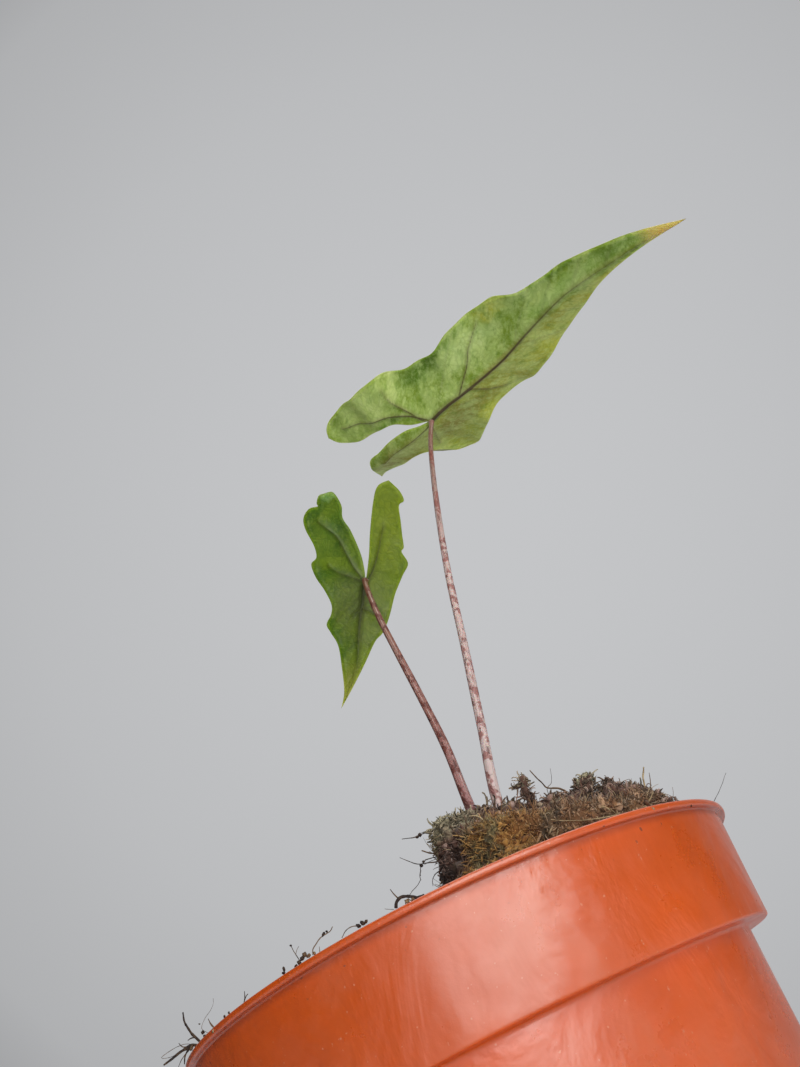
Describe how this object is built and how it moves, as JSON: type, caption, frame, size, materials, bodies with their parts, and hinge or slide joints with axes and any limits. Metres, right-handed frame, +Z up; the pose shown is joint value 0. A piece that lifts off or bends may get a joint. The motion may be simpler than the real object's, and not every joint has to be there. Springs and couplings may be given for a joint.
{
  "type": "potted variegated alocasia",
  "caption": "Young arrow-leaved aroid with mottled blades on slim pink stalks, growing from a mossy root plug in a collared plastic nursery pot.",
  "frame": {"origin": "centre of the pot's underside, on the surface that it stands on", "axes": "+Z up along the pot's axis, -Y towards the side the plant is seen from, +X to the right of that view"},
  "size_m": [0.1641, 0.1422, 0.2463],
  "materials": {
    "pot_plastic": "satin terracotta-orange moulded plastic with faint ripples and scuffs",
    "potting_mix": "dark crumbly peat and bark with moss and dry fibres",
    "mossy_plug": "matted brown moss and peat with grey-green and straw-coloured tufts",
    "corm": "fibrous brown corm skin and pale roots",
    "stalk_pale": "pale pink stalk with rose-brown bars and fine lengthwise streaks",
    "stalk_rose": "darker rose-brown mottled stalk",
    "blade_mottled": "waxy green blade mottled with pale mint and yellow-olive, brown veins",
    "blade_green": "waxy mid-green blade with a yellow-green half and grey-green centre"
  },
  "bodies": {
    "root": {"pot": "pot_plastic", "potting_mix": "potting_mix", "root_plug": "mossy_plug", "corm_and_roots": "corm", "stalk_large": "stalk_pale", "stalk_small": "stalk_rose", "blade_large": "blade_mottled", "blade_small": "blade_green"}
  },
  "joints": []
}
